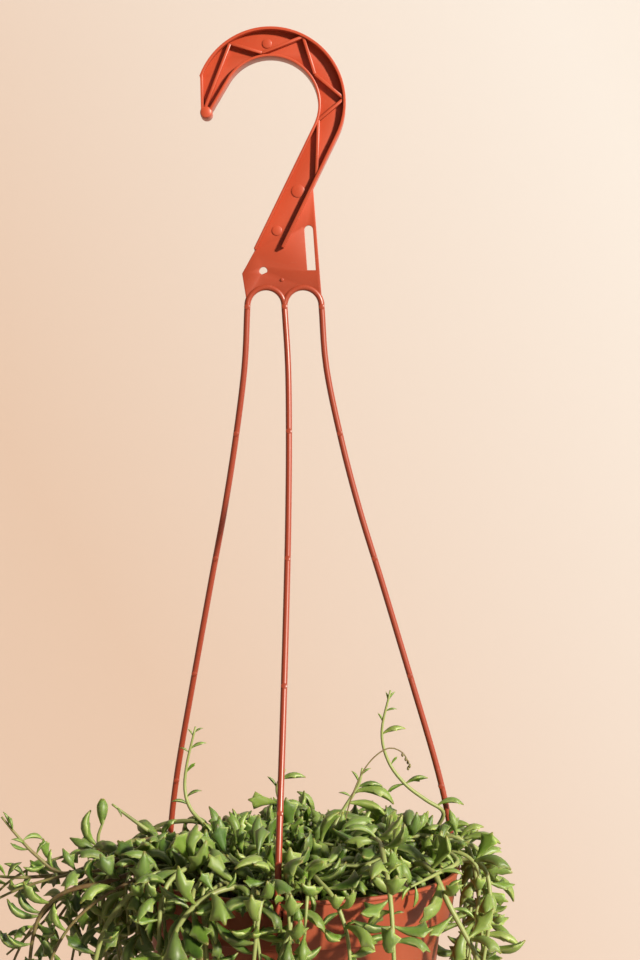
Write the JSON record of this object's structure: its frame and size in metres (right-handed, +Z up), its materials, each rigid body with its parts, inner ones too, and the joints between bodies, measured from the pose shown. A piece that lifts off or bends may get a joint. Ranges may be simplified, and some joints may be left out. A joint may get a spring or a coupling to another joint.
{
  "type": "potted string of dolphins in a hanging pot",
  "caption": "String of dolphins, a trailing succulent with dolphin-shaped leaves, in a terracotta-coloured plastic hanging pot on a moulded hook hanger.",
  "frame": {"origin": "the inside of the hook's crown, where the hook rests on the rail or hook that carries it", "axes": "+Z up, along the hang; the hook's plate lies in the XZ plane and faces -Y; +X to the right in the front view"},
  "size_m": [0.2526, 0.2048, 0.4997],
  "materials": {
    "hanger": "terracotta-coloured moulded plastic, smooth with a low gloss",
    "pot": "terracotta-coloured plastic, satin",
    "soil": "dark loose compost",
    "plant": "waxy succulent leaf and stem"
  },
  "bodies": {
    "root": {"hanger": "hanger", "pot": "pot", "soil": "soil", "stem_back_1": "plant", "stem_back_2": "plant", "stem_back_3": "plant", "stem_back_4": "plant", "stem_back_5": "plant", "stem_back_6": "plant", "stem_front_inner": "plant", "stem_front_left": "plant", "stem_front_middle": "plant", "stem_front_straight": "plant", "stem_left_arch": "plant", "stem_left_crown": "plant", "stem_left_fall": "plant", "stem_left_hump": "plant", "stem_left_post": "plant", "stem_left_reach": "plant", "stem_left_rise": "plant", "stem_mound_1": "plant", "stem_mound_10": "plant", "stem_mound_11": "plant", "stem_mound_12": "plant", "stem_mound_2": "plant", "stem_mound_3": "plant", "stem_mound_4": "plant", "stem_mound_5": "plant", "stem_mound_6": "plant", "stem_mound_7": "plant", "stem_mound_8": "plant", "stem_mound_9": "plant", "stem_over_1": "plant", "stem_over_2": "plant", "stem_over_3": "plant", "stem_over_4": "plant", "stem_over_5": "plant", "stem_over_6": "plant", "stem_over_7": "plant", "stem_over_8": "plant", "stem_right_branch": "plant", "stem_right_clump": "plant", "stem_right_trail": "plant", "stem_shoot_inner_right": "plant", "stem_shoot_left": "plant", "stem_shoot_middle": "plant", "stem_shoot_right": "plant"}
  },
  "joints": []
}
